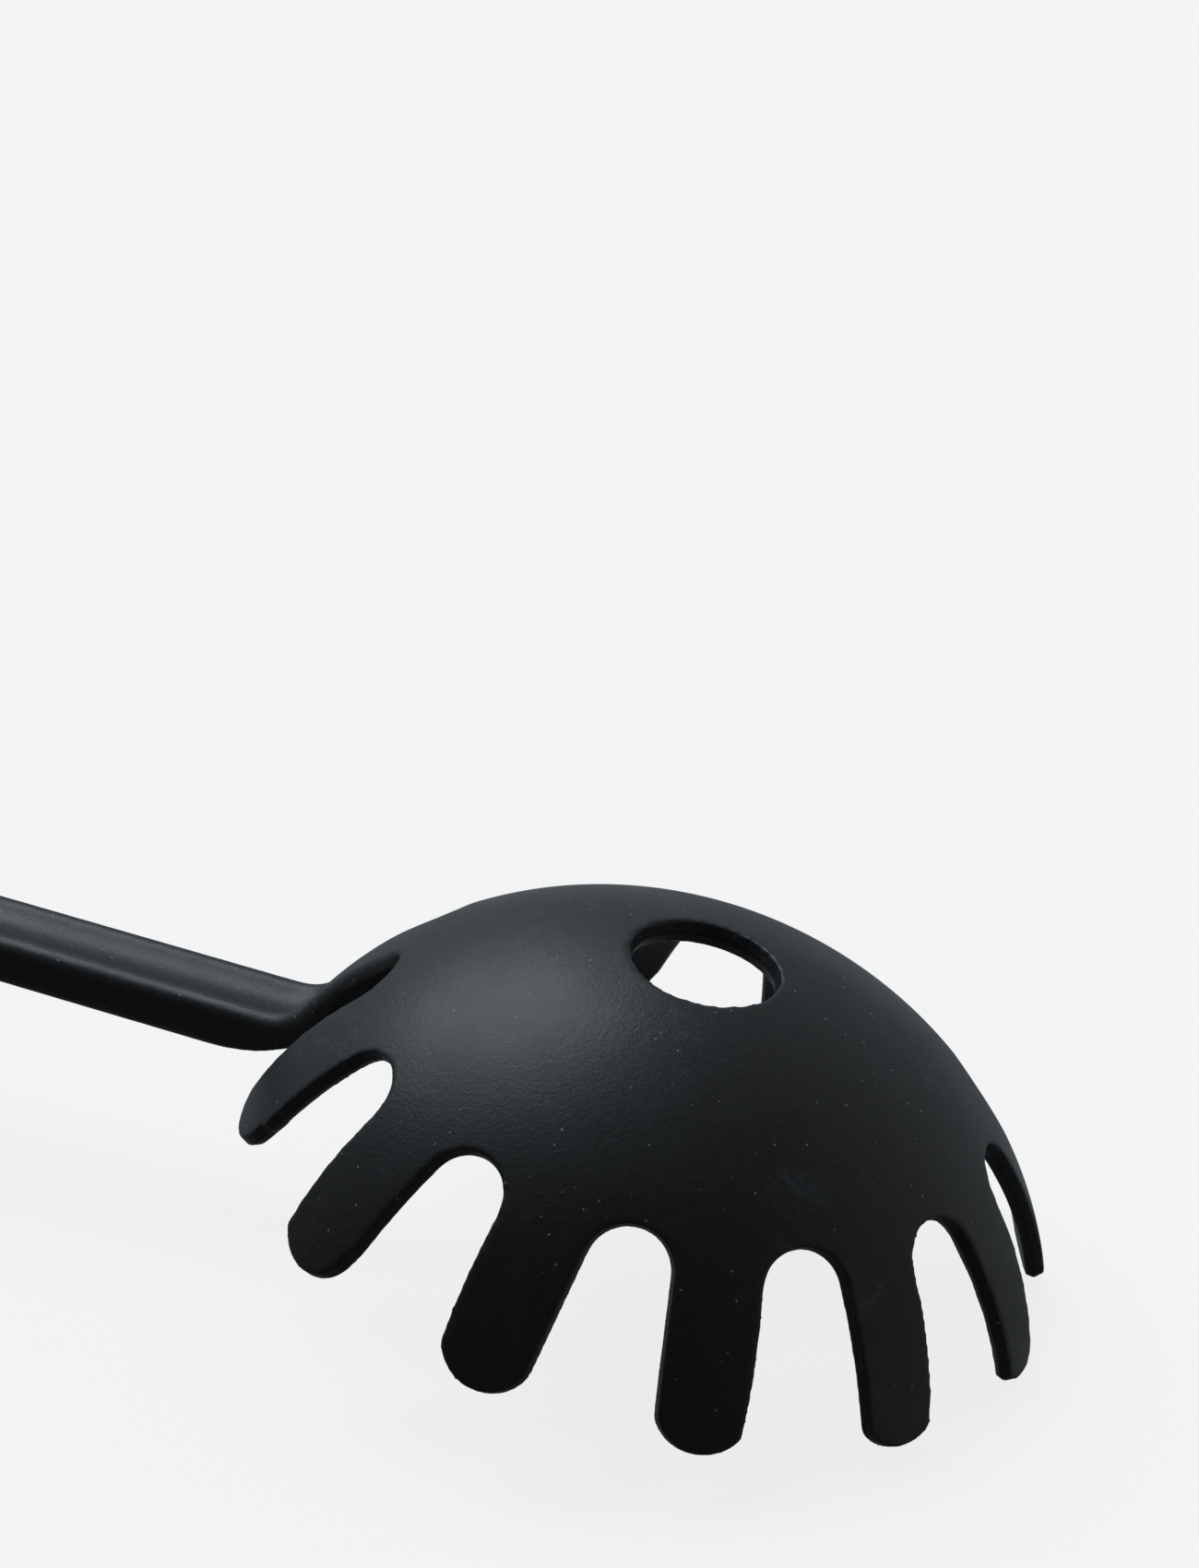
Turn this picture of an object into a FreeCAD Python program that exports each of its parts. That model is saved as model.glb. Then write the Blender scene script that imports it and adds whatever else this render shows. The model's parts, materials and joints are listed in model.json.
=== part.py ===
"""Pasta server, lying crown-up on its front teeth and the tail of its handle.

The head is one nylon moulding: a half-ellipsoid bowl with eleven teeth and a drain hole,
and a neck bar that takes the place of the twelfth tooth and ends in a tang inside the grip.
The grip is a plastic core with a soft sleeve, a steel collar, a cast end cap and a swinging
hanging link. Millimetres, +Z up, the origin under the middle of the whole length.
"""
import FreeCAD, Part
import math
import os

Vector = FreeCAD.Vector
doc = FreeCAD.newDocument("pasta_server")

# ---------------------------------------------------------------- driving dimensions
# alias: (value, meaning)
SIZES = {
    # bowl, measured on its outer face from the centre of the ellipsoid
    "bowl_half_length": (36.3, "semi-axis along the handle"),
    "bowl_half_width": (34.0, "semi-axis across the handle"),
    "bowl_depth": (32.8, "semi-axis to the crown"),
    "bowl_wall": (1.6, "wall of the teeth, at the rim"),
    "crown_wall": (2.2, "wall at the crown"),
    "drain_radius": (6.1, "drain hole in the crown"),
    # teeth and the slots between them
    "tooth_count": (12, "places round the rim, one of them the neck"),
    "tooth_tip_height": (8.0, "tip of a tooth above the ellipsoid centre"),
    "tooth_tip_radius": (4.1, "round end of a tooth"),
    "slot_top_height": (22.4, "top of a slot above the ellipsoid centre"),
    "slot_top_radius": (3.45, "round top of a slot"),
    "slot_flare": (9.0, "half angle that a slot opens by"),
    "slot_lead": (1.9, "degrees that a flank slot's top stands towards the front"),
    "slot_spread": (0.8, "degrees that the slots at both ends stand away from the front"),
    "slot_sweep": (2.7, "degrees that a flank slot runs back towards the neck"),
    "slot_fan": (5.8, "degrees added to that at the neck and taken off at the front"),
    "neck_slot_rise": (1.2, "slots beside the neck end higher by this"),
    # neck bar
    "neck_width": (8.8, "width of the neck bar"),
    "neck_thick": (4.5, "thickness of the neck bar"),
    "neck_edge_radius": (1.4, "rounded long edges of the neck bar"),
    "neck_groove_width": (5.4, "groove along the back of the neck"),
    "neck_groove_depth": (0.9, "depth of that groove"),
    "neck_root_height": (14.5, "where the neck leaves the bowl wall"),
    "neck_root_bend": (7.7, "centre-line radius of the bend at the root"),
    "neck_heel_radius": (24.0, "wider radius on the outside of that bend"),
    "neck_fall": (9.2, "fall of the neck away from the bowl, in the bowl's own frame"),
    "neck_straight": (58.0, "straight run of the neck before its bow"),
    "neck_bow_radius": (260.0, "radius of the bow that brings the grip down"),
    "neck_bare": (14.0, "straight run of the neck between the bow and the collar"),
    "tang_length": (58.0, "neck bar inside the grip core"),
    "tang_gap": (0.1, "clearance round the tang and in the collar"),
    "tang_end_gap": (0.5, "room past the end of the tang"),
    # grip, along its own axis from the front of the collar
    "collar_length": (11.0, "steel collar"),
    "collar_front_width": (14.5, "collar at its front end, across"),
    "collar_front_thick": (9.5, "collar at its front end, through"),
    "grip_length": (116.0, "soft sleeve and core"),
    "grip_front_width": (18.5, "sleeve at the collar, across"),
    "grip_front_thick": (13.5, "sleeve at the collar, through"),
    "grip_belly_width": (25.0, "sleeve at its fullest, across"),
    "grip_belly_thick": (18.0, "sleeve at its fullest, through"),
    "grip_belly_place": (62.0, "fullest section behind the front of the grip"),
    "grip_rear_width": (21.0, "sleeve at the end cap, across"),
    "grip_rear_thick": (16.0, "sleeve at the end cap, through"),
    "sleeve_wall": (2.0, "soft sleeve"),
    "pin_radius": (1.5, "tang pins and the cap pin"),
    "pin_inset": (1.2, "end of a pin under the core's face"),
    "press_gap": (0.02, "radial gap of a pressed pin"),
    "tang_pin_first": (18.0, "first tang pin behind the front of the grip"),
    "tang_pin_pitch": (26.0, "between the two tang pins"),
    # end cap, hinge pin and hanging link
    "cap_band": (5.0, "straight band of the end cap"),
    "cap_dome": (10.0, "length of the domed end"),
    "rest_flat": (0.35, "depth of the flat that the cap lies on"),
    "spigot_radius": (4.4, "spigot of the cap in the core"),
    "spigot_length": (15.0, "length of that spigot"),
    "spigot_gap": (0.05, "radial gap round the spigot"),
    "spigot_end_gap": (0.5, "room past the end of the spigot"),
    "hinge_reach": (13.5, "link pin behind the band of the cap"),
    "cheek_thick": (2.4, "each cheek of the fork"),
    "cheek_radius": (3.4, "round end of a cheek"),
    "link_pin_radius": (1.4, "pin of the hanging link"),
    "link_run_gap": (0.06, "radial running fit of the link on its pin"),
    "link_side_gap": (0.2, "side clearance between the knuckle and a cheek"),
    "fork_floor_gap": (0.4, "clearance between the knuckle and the floor of the fork"),
    "knuckle_length": (8.0, "knuckle of the link, along its pin"),
    "knuckle_radius": (2.7, "outside of the knuckle"),
    "link_thick": (1.8, "plate of the link"),
    "link_reach": (17.5, "hanging hole behind the link pin"),
    "hang_radius": (7.0, "hanging hole"),
    "link_rim": (3.6, "plate round the hanging hole"),
    # attitude on the table
    "rest_tilt": (13.2, "nose-down tilt of the bowl as it lies"),
    # construction
    "overrun": (1.0, "how far cutters and overlapping blanks run past a face"),
}

sheet = doc.addObject("Spreadsheet::Sheet", "sizes")
for row, (alias, (value, meaning)) in enumerate(SIZES.items(), start=1):
    sheet.set("A%d" % row, meaning)
    sheet.set("B%d" % row, str(value))
    sheet.setAlias("B%d" % row, alias)
doc.recompute()


def size(alias):
    """Value of a driving dimension, read back from the sheet."""
    return float(sheet.get(alias))


def bind(obj, **expressions):
    """Tie properties of an object to the sheet; names in braces are aliases."""
    for prop, text in expressions.items():
        obj.setExpression(prop, text.replace("{", "sizes.").replace("}", ""))
    return obj


def primitive(kind, name, **expressions):
    """A Part primitive whose sizes are tied to the sheet."""
    return bind(doc.addObject("Part::" + kind, name), **expressions)


def cut(name, base, tool):
    """Part::Cut of two objects of the document."""
    obj = doc.addObject("Part::Cut", name)
    obj.Base = base
    obj.Tool = tool
    return obj


def fuse(name, objects):
    """Part::MultiFuse of several objects of the document."""
    obj = doc.addObject("Part::MultiFuse", name)
    obj.Shapes = objects
    return obj


teeth = int(size("tooth_count"))
NECK_PLACE = teeth // 2                     # the tooth place that the neck takes
NECK_SLOTS = (NECK_PLACE - 1, NECK_PLACE)   # the slots on both sides of it

CUT_WALLS = 8         # length of a cutter through the bowl's wall, in walls
SLOT_RUN = 1.4        # run of a slot's cutter past the rim, in heights of its top above the rim
TIP_BLOCK = 3.6       # block that a tooth's round end is cut from, in tip radii
TIP_LEVEL = 0.6       # nothing of the bowl is left under this share of the tips' height
NECK_CLEARING = 2.4   # width cleared of bowl under the neck, in neck widths


# ---------------------------------------------------------------- bowl geometry helpers
def bowl_point(azimuth, height):
    """Point of the bowl's outer face at an azimuth (degrees) and a height."""
    ring = math.sqrt(1.0 - (height / size("bowl_depth")) ** 2)
    angle = math.radians(azimuth)
    return Vector(size("bowl_half_length") * ring * math.cos(angle),
                  size("bowl_half_width") * ring * math.sin(angle), height)


def facing(azimuth, height):
    """Frame on the bowl's face: X along the rim, Y up the slope, Z outwards."""
    rise = height / size("bowl_depth") ** 2
    run = bowl_point(0, height).x / size("bowl_half_length") ** 2
    lift = math.atan2(rise, run)
    angle = math.radians(azimuth)
    along = Vector(-math.sin(angle), math.cos(angle), 0)
    out = Vector(math.cos(lift) * math.cos(angle), math.cos(lift) * math.sin(angle), math.sin(lift))
    return FreeCAD.Rotation(along, out.cross(along), out, "ZXY")


def slot_azimuth(index):
    """Azimuth of the top of a slot; the slots are mirrored about the handle's plane."""
    azimuth = (index + 0.5) * 360.0 / size("tooth_count")
    if index in NECK_SLOTS:
        return azimuth
    angle = math.radians(azimuth)
    side = math.copysign(1.0, math.sin(angle))
    return azimuth - size("slot_lead") * math.sin(angle) + side * size("slot_spread") * math.cos(angle)


def slot_turn(index):
    """Angle between a slot and the meridian through its top, seen from outside."""
    angle = math.radians((index + 0.5) * 360.0 / size("tooth_count"))
    side = math.copysign(1.0, math.sin(angle))
    return side * (size("slot_sweep") - size("slot_fan") * math.cos(angle))


def slot_foot(index):
    """Azimuth of the middle of a slot at the height of the tooth tips."""
    azimuth = slot_azimuth(index)
    tip = bowl_point(azimuth, size("tooth_tip_height"))
    drop = (bowl_point(azimuth, size("slot_top_height")) - tip).Length
    aside = drop * math.tan(math.radians(slot_turn(index)))
    return azimuth + math.degrees(aside / math.hypot(tip.x, tip.y))


def slot_tool(index):
    """Cutter for one slot: a round top and sides that open towards the rim."""
    azimuth = slot_azimuth(index)
    top = size("slot_top_height")
    if index in NECK_SLOTS:
        top += size("neck_slot_rise")
    middle = 0.5 * (top + size("tooth_tip_height"))
    turn = FreeCAD.Rotation(Vector(0, 0, 1), slot_turn(index))
    at = FreeCAD.Placement(bowl_point(azimuth, top), facing(azimuth, middle).multiply(turn))
    reach = "%d * {bowl_wall}" % CUT_WALLS
    inside = -0.5 * CUT_WALLS * size("bowl_wall")
    drop = "{slot_top_radius} * (1 - sin({slot_flare}))"
    long = "%g * ({slot_top_height} + {tooth_tip_height})" % SLOT_RUN
    head = primitive("Cylinder", "slot_top_%d" % index, Radius="{slot_top_radius}", Height=reach)
    head.Placement = at.multiply(
        FreeCAD.Placement(Vector(0, -size("slot_top_radius"), inside), FreeCAD.Rotation()))
    narrow = "{slot_top_radius} * cos({slot_flare})"
    wide = "(%s + %s * tan({slot_flare}))" % (narrow, long)
    gap = primitive("Wedge", "slot_gap_%d" % index,
                    Xmin="-" + wide, Xmax=wide, Ymin="-(%s) - %s" % (drop, long), Ymax="-(%s)" % drop,
                    Zmin="-0.5 * " + reach, Zmax="0.5 * " + reach,
                    X2min="-" + narrow, X2max=narrow, Z2min="-0.5 * " + reach, Z2max="0.5 * " + reach)
    gap.Placement = at
    return [head, gap]


def tip_tool(index):
    """Cutter that leaves one tooth with a round end."""
    azimuth = 0.5 * (slot_foot(index - 1) + slot_foot(index)) if index else 0.0
    tip = size("tooth_tip_height")
    at = FreeCAD.Placement(bowl_point(azimuth, tip), facing(azimuth, tip))
    radius = size("tooth_tip_radius")
    reach = "%d * {bowl_wall}" % CUT_WALLS
    inside = -0.5 * CUT_WALLS * size("bowl_wall")
    block = primitive("Box", "tip_block_%d" % index, Length="%g * {tooth_tip_radius}" % TIP_BLOCK,
                      Width="3 * {tooth_tip_radius}", Height=reach)
    corner = Vector(-0.5 * TIP_BLOCK * radius, -2 * radius, inside)
    block.Placement = at.multiply(FreeCAD.Placement(corner, FreeCAD.Rotation()))
    round_end = primitive("Cylinder", "tip_round_%d" % index, Radius="{tooth_tip_radius}", Height=reach)
    centre = Vector(0, radius, inside)
    round_end.Placement = at.multiply(FreeCAD.Placement(centre, FreeCAD.Rotation()))
    return cut("tip_tool_%d" % index, block, round_end)


# ---------------------------------------------------------------- neck centre line
def turned(direction, degrees):
    """A direction in the XZ plane turned towards +Z seen while walking along it outwards."""
    angle = math.radians(degrees)
    return Vector(direction.x * math.cos(angle) + direction.z * math.sin(angle), 0,
                  direction.z * math.cos(angle) - direction.x * math.sin(angle))


def heading(fall):
    """Unit direction away from the bowl that falls by an angle, in the bowl's frame."""
    return Vector(-math.cos(math.radians(fall)), 0, -math.sin(math.radians(fall)))


def bend(start, fall_from, fall_to, radius):
    """Arc that turns a heading from one fall to another. Returns its middle and its end."""
    side = 1 if fall_to > fall_from else -1
    points = []
    for fall in (0.5 * (fall_from + fall_to), fall_to):
        down = side * radius
        shift = Vector(-(math.sin(math.radians(fall)) - math.sin(math.radians(fall_from))), 0,
                       math.cos(math.radians(fall)) - math.cos(math.radians(fall_from)))
        points.append(start + shift * down)
    return points


ROOT_INSET = 0.1    # neck's back below the bowl's outer face at the root
ROOT_CLIMB = 23.0   # degrees of the bowl's wall that the neck is bedded in
BED_RADIUS = 0.95   # share of the bowl's depth that the bedded part curves with


def neck_root():
    """Centre-line point at the root of the neck and the fall of the bowl's wall there."""
    height = size("neck_root_height")
    on_face = bowl_point(180, height)
    slope = math.atan2(-on_face.x / size("bowl_half_length") ** 2, height / size("bowl_depth") ** 2)
    fall = math.degrees(slope)
    inward = Vector(math.sin(slope), 0, -math.cos(slope))
    return on_face + inward * (0.5 * size("neck_thick") + ROOT_INSET), fall


def neck_path(grip_fall):
    """Centre line of the neck and tang as edges, and the point at the collar's front."""
    root, root_fall = neck_root()
    wall_radius = BED_RADIUS * size("bowl_depth") - 0.5 * size("neck_thick")
    climb = bend(root, root_fall, root_fall - ROOT_CLIMB, -wall_radius)
    start, mid = climb[1], climb[0]
    edges = [Part.Arc(start, mid, root).toShape()]
    neck_fall = size("neck_fall")
    arc = bend(root, root_fall, neck_fall, size("neck_root_bend"))
    edges.append(Part.Arc(root, arc[0], arc[1]).toShape())
    bow_start = arc[1] + heading(neck_fall) * size("neck_straight")
    edges.append(Part.LineSegment(arc[1], bow_start).toShape())
    bow = bend(bow_start, neck_fall, grip_fall, size("neck_bow_radius"))
    edges.append(Part.Arc(bow_start, bow[0], bow[1]).toShape())
    collar = bow[1] + heading(grip_fall) * size("neck_bare")
    tang_end = collar + heading(grip_fall) * (size("collar_length") + size("tang_length"))
    edges.append(Part.LineSegment(bow[1], tang_end).toShape())
    return edges, collar


def rest_height(point):
    """Height of a point of the bowl's frame once the bowl is tilted to its rest."""
    tilt = math.radians(size("rest_tilt"))
    return point.z * math.cos(tilt) - point.x * math.sin(tilt)


def table_height():
    """Table level in the tilted frame: the lower corner of the front tooth's tip."""
    tip = bowl_point(0, size("tooth_tip_height"))
    out = facing(0, size("tooth_tip_height")).multVec(Vector(0, 0, 1))
    return min(rest_height(tip), rest_height(tip - out * size("bowl_wall")))


def cap_height(grip_fall):
    """Height above the table of the flat under the end cap."""
    collar = neck_path(grip_fall)[1]
    fall = math.radians(grip_fall - size("rest_tilt"))
    centre = size("collar_length") + size("grip_length") + size("cap_band")
    half = 0.5 * size("grip_rear_thick")
    lowest = centre * math.sin(fall) + math.hypot(half * math.cos(fall), size("cap_dome") * math.sin(fall))
    return rest_height(collar) - lowest + size("rest_flat") - table_height()


def solve_grip_fall():
    """Fall of the grip that rests the end cap on the table."""
    low, high = size("neck_fall"), size("neck_fall") + 40.0
    for _ in range(50):
        middle = 0.5 * (low + high)
        if cap_height(middle) > 0:
            low = middle
        else:
            high = middle
    return 0.5 * (low + high)


grip_fall = solve_grip_fall()
path_edges, collar_point = neck_path(grip_fall)


# ---------------------------------------------------------------- server head
def neck_section(start, direction):
    """Closed outline of the neck bar, round-edged, with the groove along its back."""
    half_w = 0.5 * size("neck_width")
    half_t = 0.5 * size("neck_thick")
    r = size("neck_edge_radius")
    groove = 0.5 * size("neck_groove_width")
    depth = size("neck_groove_depth")
    diag = r * (1 - math.sqrt(0.5))
    up = turned(direction, 90)

    def at(across, out):
        return start + Vector(0, across, 0) + up * out

    def corner(sy, sz):
        return [at(sy * half_w, sz * (half_t - r)), at(sy * (half_w - diag), sz * (half_t - diag)),
                at(sy * (half_w - r), sz * half_t)]

    back_l, back_r = corner(-1, 1), corner(1, 1)
    front_r, front_l = corner(1, -1), corner(-1, -1)
    edges = [
        Part.Arc(back_l[0], back_l[1], back_l[2]).toShape(),
        Part.LineSegment(back_l[2], at(-groove, half_t)).toShape(),
        Part.Arc(at(-groove, half_t), at(0, half_t - depth), at(groove, half_t)).toShape(),
        Part.LineSegment(at(groove, half_t), back_r[2]).toShape(),
        Part.Arc(back_r[2], back_r[1], back_r[0]).toShape(),
        Part.LineSegment(back_r[0], front_r[0]).toShape(),
        Part.Arc(front_r[0], front_r[1], front_r[2]).toShape(),
        Part.LineSegment(front_r[2], front_l[2]).toShape(),
        Part.Arc(front_l[2], front_l[1], front_l[0]).toShape(),
        Part.LineSegment(front_l[0], back_l[0]).toShape(),
    ]
    return Part.Wire(edges)


outer = primitive("Ellipsoid", "bowl_outer", Radius1="{bowl_depth}", Radius2="{bowl_half_length}",
                  Radius3="{bowl_half_width}")
inner = primitive("Ellipsoid", "bowl_inner", Radius1="{bowl_depth} - {crown_wall}",
                  Radius2="{bowl_half_length} - {bowl_wall}", Radius3="{bowl_half_width} - {bowl_wall}")
for solid in (outer, inner):
    solid.Angle1 = -90
    solid.Angle2 = 90
    solid.Angle3 = 360
shell = cut("bowl_shell", outer, inner)

below = primitive("Box", "below_tips", Length="3 * {bowl_half_length}", Width="3 * {bowl_half_width}",
                  Height="2 * {bowl_depth}")
below.Placement.Base = Vector(-1.5 * size("bowl_half_length"), -1.5 * size("bowl_half_width"),
                              TIP_LEVEL * size("tooth_tip_height") - 2 * size("bowl_depth"))
under_neck = primitive("Box", "under_neck", Length="{bowl_half_length}",
                       Width="%g * {neck_width}" % NECK_CLEARING, Height="{neck_root_height}")
under_neck.Placement.Base = Vector(-1.4 * size("bowl_half_length"),
                                   -0.5 * NECK_CLEARING * size("neck_width"),
                                   -0.2 * size("neck_root_height"))
drain = primitive("Cylinder", "drain_hole", Radius="{drain_radius}", Height="2 * {bowl_depth}")

openings = [drain, under_neck]
tooth_ends = [below]
for index in range(teeth):
    openings += slot_tool(index)
    if index != NECK_PLACE:
        tooth_ends.append(tip_tool(index))
slotted = cut("slotted_bowl", shell, fuse("bowl_openings", openings))
bowl = cut("toothed_bowl", slotted, fuse("tooth_ends", tooth_ends))


def heel_tool():
    """Cutter that gives the outside of the bend at the neck's root its wider radius."""
    root, root_fall = neck_root()
    half_turn = 0.5 * math.radians(root_fall - size("neck_fall"))
    first, middle = math.radians(root_fall), math.radians(0.5 * (root_fall + size("neck_fall")))
    bend_centre = root - Vector(math.sin(first), 0, -math.cos(first)) * size("neck_root_bend")
    outward = Vector(math.sin(middle), 0, -math.cos(middle))
    heel = size("neck_heel_radius")
    outside = size("neck_root_bend") + 0.5 * size("neck_thick")
    centre = bend_centre - outward * ((heel - outside) / math.cos(half_turn))
    across = Vector(0, 1, 0)
    at = FreeCAD.Placement(centre, FreeCAD.Rotation(across.cross(outward), across, outward, "ZXY"))
    height = heel / math.cos(half_turn) - heel * math.cos(half_turn) + size("overrun")
    block = primitive("Box", "heel_block", Length=str(2 * heel * math.sin(half_turn)),
                      Width="2 * {neck_width}", Height=str(height))
    corner = Vector(-heel * math.sin(half_turn), -size("neck_width"), heel * math.cos(half_turn))
    block.Placement = at.multiply(FreeCAD.Placement(corner, FreeCAD.Rotation()))
    roller = primitive("Cylinder", "heel_roller", Radius="{neck_heel_radius}", Height="3 * {neck_width}")
    roller.Placement = at.multiply(FreeCAD.Placement(Vector(0, -1.5 * size("neck_width"), 0),
                                                     FreeCAD.Rotation(Vector(1, 0, 0), -90)))
    return cut("heel_tool", block, roller)


spine = doc.addObject("Part::Feature", "neck_line")
spine.Shape = Part.Wire(path_edges)
section = doc.addObject("Part::Feature", "neck_outline")
first = path_edges[0]
section.Shape = neck_section(first.Vertexes[0].Point, first.tangentAt(first.FirstParameter))
neck = doc.addObject("Part::Sweep", "neck_bar")
neck.Sections = [section]
neck.Spine = spine
neck.Solid = True
neck.Frenet = False
neck_trimmed = cut("neck_trimmed", neck, heel_tool())


# ---------------------------------------------------------------- grip frame
def grip_placement():
    """The grip's own frame: Z along the handle away from the bowl, X up, Y across."""
    along = heading(grip_fall)
    across = Vector(0, 1, 0)
    return FreeCAD.Placement(collar_point, FreeCAD.Rotation(across.cross(along), across, along, "ZXY"))


GRIP = grip_placement()


def in_grip(obj, along=0.0, rotation=None, up=0.0, across=0.0):
    """Place an object in the grip's frame."""
    local = FreeCAD.Placement(Vector(up, across, along), rotation or FreeCAD.Rotation())
    obj.Placement = GRIP.multiply(local)
    return obj


TO_UP = FreeCAD.Rotation(Vector(0, 1, 0), 90)       # cylinder axis along the grip's X
TO_ACROSS = FreeCAD.Rotation(Vector(1, 0, 0), -90)  # cylinder axis along the grip's Y


def pin_holes(prefix, gap):
    """The two tang pins, or their holes when a gap is given."""
    solids = []
    for index in range(2):
        pin = primitive("Cylinder", "%s_%d" % (prefix, index), Radius="{pin_radius} + %g" % gap,
                        Height="{grip_front_thick} - 2 * {sleeve_wall} - 2 * {pin_inset}")
        length = size("grip_front_thick") - 2 * size("sleeve_wall") - 2 * size("pin_inset")
        place = size("collar_length") + size("tang_pin_first") + index * size("tang_pin_pitch")
        in_grip(pin, along=place, rotation=TO_UP, up=-0.5 * length)
        solids.append(pin)
    return solids


head = cut("server_head", fuse("head_blank", [bowl, neck_trimmed]),
           fuse("tang_holes", pin_holes("tang_hole", size("press_gap"))))
head.Label = "server_head"

tang_pins = doc.addObject("Part::Compound", "tang_pins")
tang_pins.Links = pin_holes("tang_pin", 0.0)
tang_pins.Label = "tang_pins"


# ---------------------------------------------------------------- lofted grip pieces
def oval(thick, width, along, shrink=0.0):
    """Oval section of the grip: its longer axis lies across."""
    centre = Vector(0, 0, along)
    half_w = 0.5 * width - shrink
    half_t = 0.5 * thick - shrink
    ellipse = Part.Ellipse(centre + Vector(0, half_w, 0), centre + Vector(half_t, 0, 0), centre)
    return Part.Wire([ellipse.toShape()])


def loft(name, sections):
    """Smooth solid loft through the sections, in the grip's frame."""
    parts = []
    for index, wire in enumerate(sections):
        part = doc.addObject("Part::Feature", "%s_section_%d" % (name, index))
        part.Shape = wire
        parts.append(in_grip(part))
    obj = doc.addObject("Part::Loft", name)
    obj.Sections = parts
    obj.Solid = True
    obj.Ruled = False
    return obj


def grip_sections(shrink):
    """Front, fullest and rear sections of the grip, drawn in by an amount."""
    front = size("collar_length")
    belly = front + size("grip_belly_place")
    end = front + size("grip_length")
    return [oval(size("grip_front_thick"), size("grip_front_width"), front, shrink),
            oval(size("grip_belly_thick"), size("grip_belly_width"), belly, shrink),
            oval(size("grip_rear_thick"), size("grip_rear_width"), end, shrink)]


def tang_room(name, along, length):
    """Box that clears the tang."""
    room = primitive("Box", name, Length="{neck_thick} + 2 * {tang_gap}",
                     Width="{neck_width} + 2 * {tang_gap}", Height=length)
    return in_grip(room, along=along, up=-0.5 * size("neck_thick") - size("tang_gap"),
                   across=-0.5 * size("neck_width") - size("tang_gap"))


core_blank = loft("core_blank", grip_sections(size("sleeve_wall")))
spigot_room = primitive("Cylinder", "spigot_room", Radius="{spigot_radius} + {spigot_gap}",
                        Height="{spigot_length} + {spigot_end_gap} + {overrun}")
rear = size("collar_length") + size("grip_length")
in_grip(spigot_room, along=rear - size("spigot_length") - size("spigot_end_gap"))
cap_pin_place = rear - 0.5 * size("spigot_length")


def cap_pin_solid(name, gap):
    """The pin that holds the cap's spigot, or its hole when a gap is given."""
    length = size("grip_rear_thick") - 2 * size("sleeve_wall") - 2 * size("pin_inset")
    pin = primitive("Cylinder", name, Radius="{pin_radius} + %g" % gap,
                    Height="{grip_rear_thick} - 2 * {sleeve_wall} - 2 * {pin_inset}")
    return in_grip(pin, along=cap_pin_place, rotation=TO_UP, up=-0.5 * length)


core_tools = [tang_room("tang_room", size("collar_length") - size("overrun"),
                        "{overrun} + {tang_length} + {tang_end_gap}"),
              spigot_room, cap_pin_solid("core_cap_pin_hole", size("press_gap"))]
core_tools += pin_holes("core_pin_hole", size("press_gap"))
core = cut("grip_core", core_blank, fuse("core_tools", core_tools))
core.Label = "grip_core"

sleeve = cut("soft_sleeve", loft("sleeve_blank", grip_sections(0.0)),
             loft("sleeve_bore", grip_sections(size("sleeve_wall"))))
sleeve.Label = "soft_sleeve"

cap_pin = cap_pin_solid("cap_pin", 0.0)
cap_pin.Label = "cap_pin"

collar_blank = loft("collar_blank", [oval(size("collar_front_thick"), size("collar_front_width"), 0.0),
                                     oval(size("grip_front_thick"), size("grip_front_width"),
                                          size("collar_length"))])
collar_blank.Ruled = True
collar = cut("neck_collar", collar_blank,
             tang_room("collar_slot", -size("overrun"), "{collar_length} + 2 * {overrun}"))
collar.Label = "neck_collar"

# ---------------------------------------------------------------- end cap
hinge_place = rear + size("cap_band") + size("hinge_reach")
band = loft("cap_band_solid", [oval(size("grip_rear_thick"), size("grip_rear_width"), rear),
                               oval(size("grip_rear_thick"), size("grip_rear_width"),
                                    rear + size("cap_band"))])
band.Ruled = True
dome = primitive("Ellipsoid", "cap_dome_solid", Radius1="{cap_dome}", Radius2="0.5 * {grip_rear_thick}",
                 Radius3="0.5 * {grip_rear_width}")
dome.Angle1 = 0
dome.Angle2 = 90
in_grip(dome, along=rear + size("cap_band"))
spigot = primitive("Cylinder", "cap_spigot", Radius="{spigot_radius}",
                   Height="{spigot_length} + {overrun}")
in_grip(spigot, along=rear - size("spigot_length"))

cheek_inner = 0.5 * size("knuckle_length") + size("link_side_gap")
cheeks = []
for side in (-1, 1):
    edge = cheek_inner if side > 0 else -cheek_inner - size("cheek_thick")
    arm = primitive("Box", "cheek_arm_%d" % (side + 1), Length="2 * {cheek_radius}", Width="{cheek_thick}",
                    Height="{hinge_reach}")
    in_grip(arm, along=rear + size("cap_band"), up=-size("cheek_radius"), across=edge)
    end = primitive("Cylinder", "cheek_end_%d" % (side + 1), Radius="{cheek_radius}", Height="{cheek_thick}")
    in_grip(end, along=hinge_place, rotation=TO_ACROSS, across=edge)
    cheeks += [arm, end]

fork_room = primitive("Box", "fork_room", Length="2 * {grip_rear_thick}",
                      Width="{knuckle_length} + 2 * {link_side_gap}", Height="4 * {knuckle_radius}")
in_grip(fork_room, along=hinge_place - size("knuckle_radius") - size("fork_floor_gap"),
        up=-size("grip_rear_thick"), across=-cheek_inner)
link_pin_length = size("knuckle_length") + 2 * (size("link_side_gap") + size("cheek_thick"))
cheek_bore = primitive("Cylinder", "cheek_bore", Radius="{link_pin_radius} + {press_gap}",
                       Height="{knuckle_length} + 2 * ({link_side_gap} + {cheek_thick} + {overrun})")
in_grip(cheek_bore, along=hinge_place, rotation=TO_ACROSS, across=-0.5 * link_pin_length - size("overrun"))

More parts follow.
